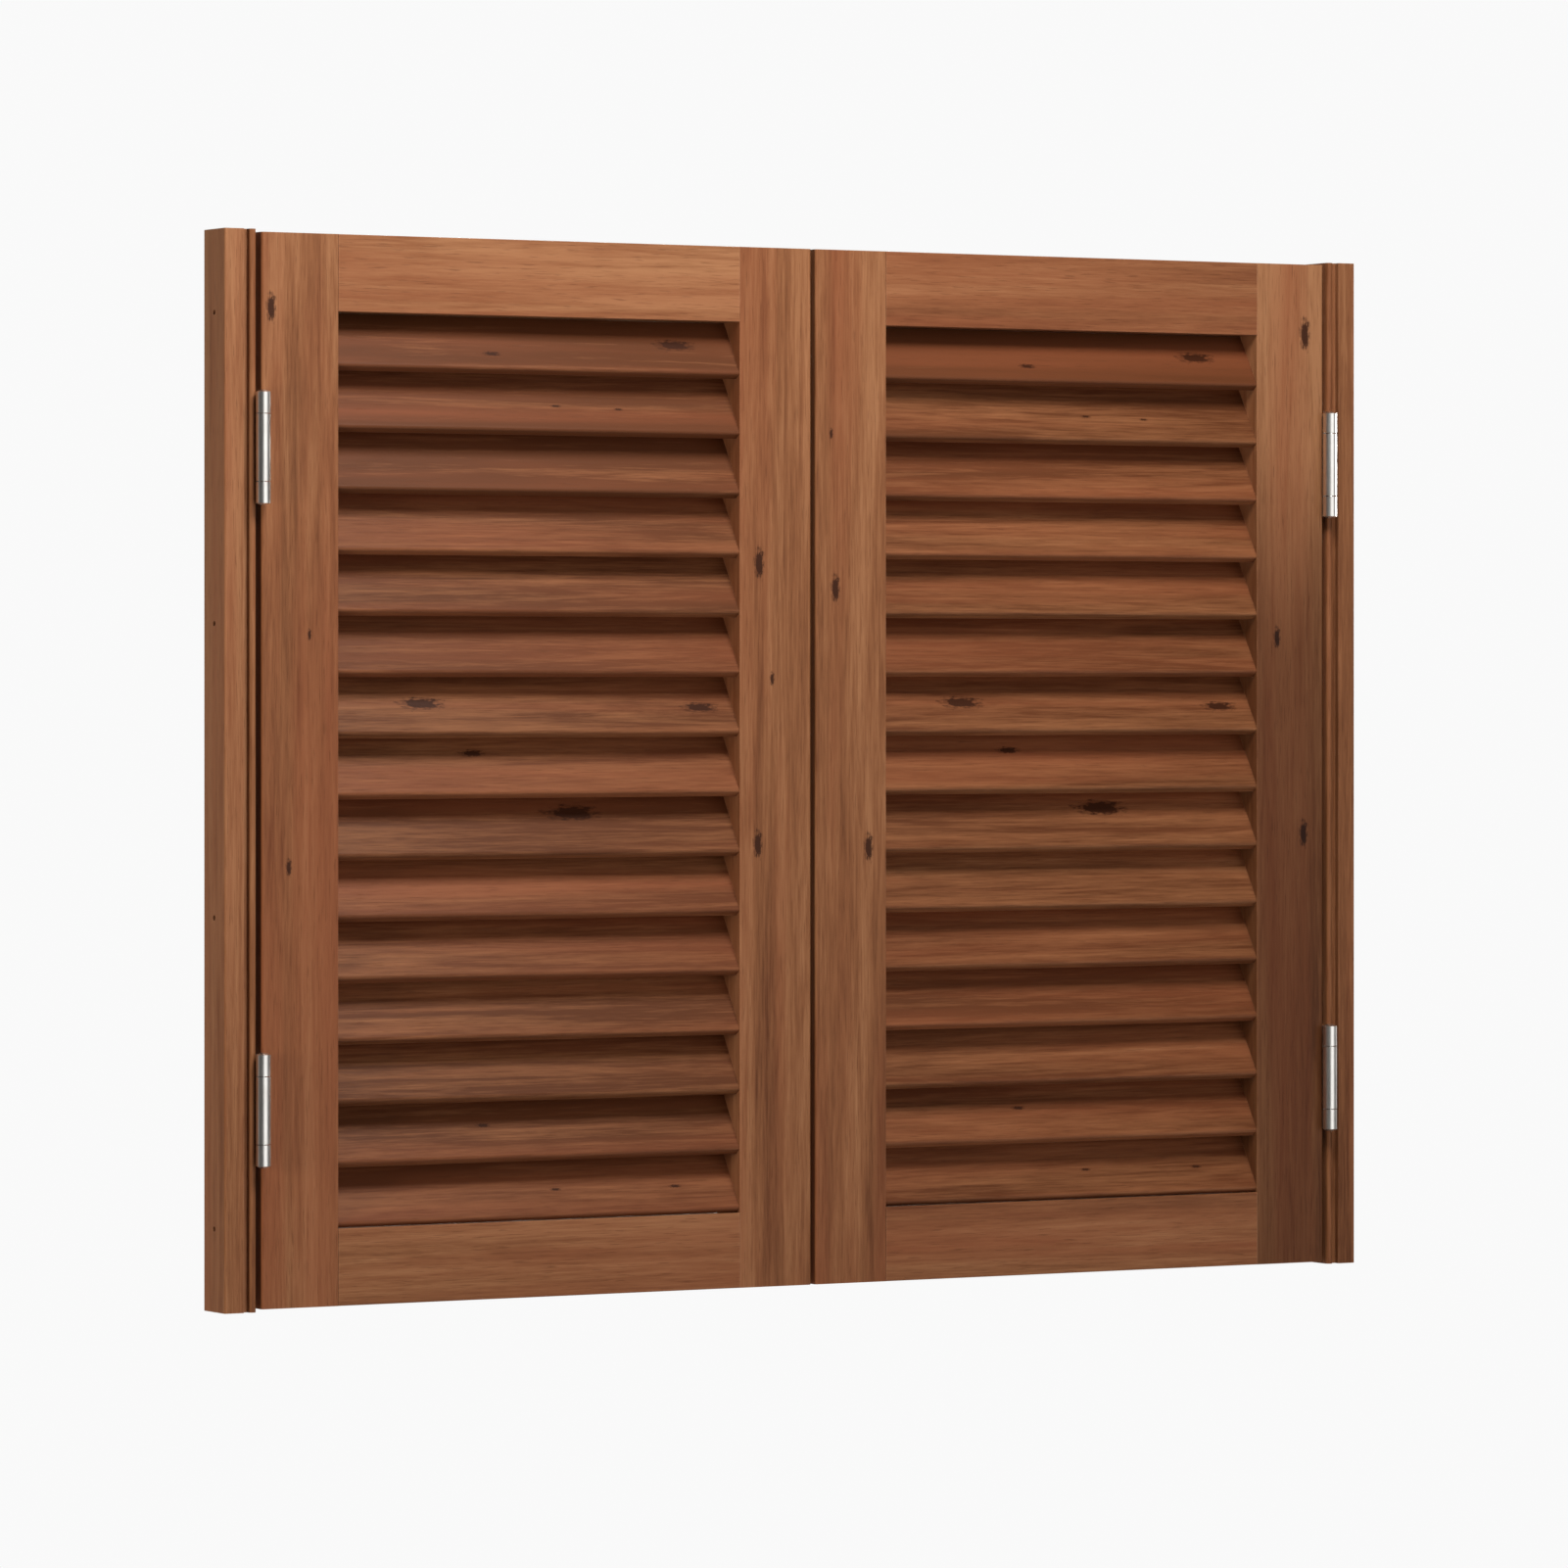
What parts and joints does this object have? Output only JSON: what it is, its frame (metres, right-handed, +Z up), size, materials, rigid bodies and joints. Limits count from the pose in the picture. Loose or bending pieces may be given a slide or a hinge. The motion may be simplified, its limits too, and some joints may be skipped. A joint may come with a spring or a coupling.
{
  "type": "louvred swing door pair",
  "caption": "Pair of low louvred wooden swing doors with moulded side jambs, hung on double-action spring hinges and swinging both ways.",
  "frame": {"origin": "middle of the doorway, at mid thickness, level with the feet of the jambs", "axes": "+X across the doorway to the right as seen from the front, +Y from front to back, +Z up"},
  "size_m": [1.2226, 0.0734, 0.975],
  "materials": {
    "frame_wood": "reddish-brown stain under a low-sheen lacquer, grain along the piece",
    "slat_wood": "reddish-brown stain under a low-sheen lacquer, with small knots",
    "jamb_wood": "reddish-brown stain under a low-sheen lacquer",
    "hinge_metal": "satin nickel plate",
    "screw_steel": "zinc plate",
    "spring_steel": "oiled spring wire"
  },
  "bodies": {
    "frame": {"left_jamb": "jamb_wood", "right_jamb": "jamb_wood", "jamb_hinge_pins": "hinge_metal", "jamb_hinge_screws": "screw_steel", "left_upper_hinge_jamb_flange": "hinge_metal", "left_lower_hinge_jamb_flange": "hinge_metal", "right_upper_hinge_jamb_flange": "hinge_metal", "right_lower_hinge_jamb_flange": "hinge_metal"},
    "left_links": {"left_upper_hinge_link": "hinge_metal", "left_lower_hinge_link": "hinge_metal", "left_hinge_springs": "spring_steel"},
    "left_leaf": {"left_leaf_hinge_stile": "frame_wood", "left_leaf_meeting_stile": "frame_wood", "left_leaf_bottom_rail": "frame_wood", "left_leaf_top_rail": "frame_wood", "left_leaf_slat_01": "slat_wood", "left_leaf_slat_02": "slat_wood", "left_leaf_slat_03": "slat_wood", "left_leaf_slat_04": "slat_wood", "left_leaf_slat_05": "slat_wood", "left_leaf_slat_06": "slat_wood", "left_leaf_slat_07": "slat_wood", "left_leaf_slat_08": "slat_wood", "left_leaf_slat_09": "slat_wood", "left_leaf_slat_10": "slat_wood", "left_leaf_slat_11": "slat_wood", "left_leaf_slat_12": "slat_wood", "left_leaf_slat_13": "slat_wood", "left_leaf_slat_14": "slat_wood", "left_leaf_slat_15": "slat_wood", "left_upper_hinge_leaf_flange": "hinge_metal", "left_lower_hinge_leaf_flange": "hinge_metal", "left_leaf_hinge_pins": "hinge_metal", "left_leaf_hinge_screws": "screw_steel"},
    "right_links": {"right_upper_hinge_link": "hinge_metal", "right_lower_hinge_link": "hinge_metal", "right_hinge_springs": "spring_steel"},
    "right_leaf": {"right_leaf_hinge_stile": "frame_wood", "right_leaf_meeting_stile": "frame_wood", "right_leaf_bottom_rail": "frame_wood", "right_leaf_top_rail": "frame_wood", "right_leaf_slat_01": "slat_wood", "right_leaf_slat_02": "slat_wood", "right_leaf_slat_03": "slat_wood", "right_leaf_slat_04": "slat_wood", "right_leaf_slat_05": "slat_wood", "right_leaf_slat_06": "slat_wood", "right_leaf_slat_07": "slat_wood", "right_leaf_slat_08": "slat_wood", "right_leaf_slat_09": "slat_wood", "right_leaf_slat_10": "slat_wood", "right_leaf_slat_11": "slat_wood", "right_leaf_slat_12": "slat_wood", "right_leaf_slat_13": "slat_wood", "right_leaf_slat_14": "slat_wood", "right_leaf_slat_15": "slat_wood", "right_upper_hinge_leaf_flange": "hinge_metal", "right_lower_hinge_leaf_flange": "hinge_metal", "right_leaf_hinge_pins": "hinge_metal", "right_leaf_hinge_screws": "screw_steel"}
  },
  "joints": [
    {"name": "left_front_swing", "type": "hinge", "parent": "frame", "child": "left_links", "pos_m": [-0.5768, -0.03, 0.4875], "axis": [0, 0, -1], "range_deg": [0, 90], "stiffness_Nm_per_rad": 5, "springref_deg": -22.92},
    {"name": "left_back_swing", "type": "hinge", "parent": "left_links", "child": "left_leaf", "pos_m": [-0.5768, 0.03, 0.4875], "axis": [0, 0, 1], "range_deg": [0, 90], "stiffness_Nm_per_rad": 5, "springref_deg": -22.92},
    {"name": "right_back_swing", "type": "hinge", "parent": "frame", "child": "right_links", "pos_m": [0.5768, 0.03, 0.4875], "axis": [0, 0, -1], "range_deg": [0, 90], "stiffness_Nm_per_rad": 5, "springref_deg": -22.92},
    {"name": "right_front_swing", "type": "hinge", "parent": "right_links", "child": "right_leaf", "pos_m": [0.5768, -0.03, 0.4875], "axis": [0, 0, 1], "range_deg": [0, 90], "stiffness_Nm_per_rad": 5, "springref_deg": -22.92}
  ]
}
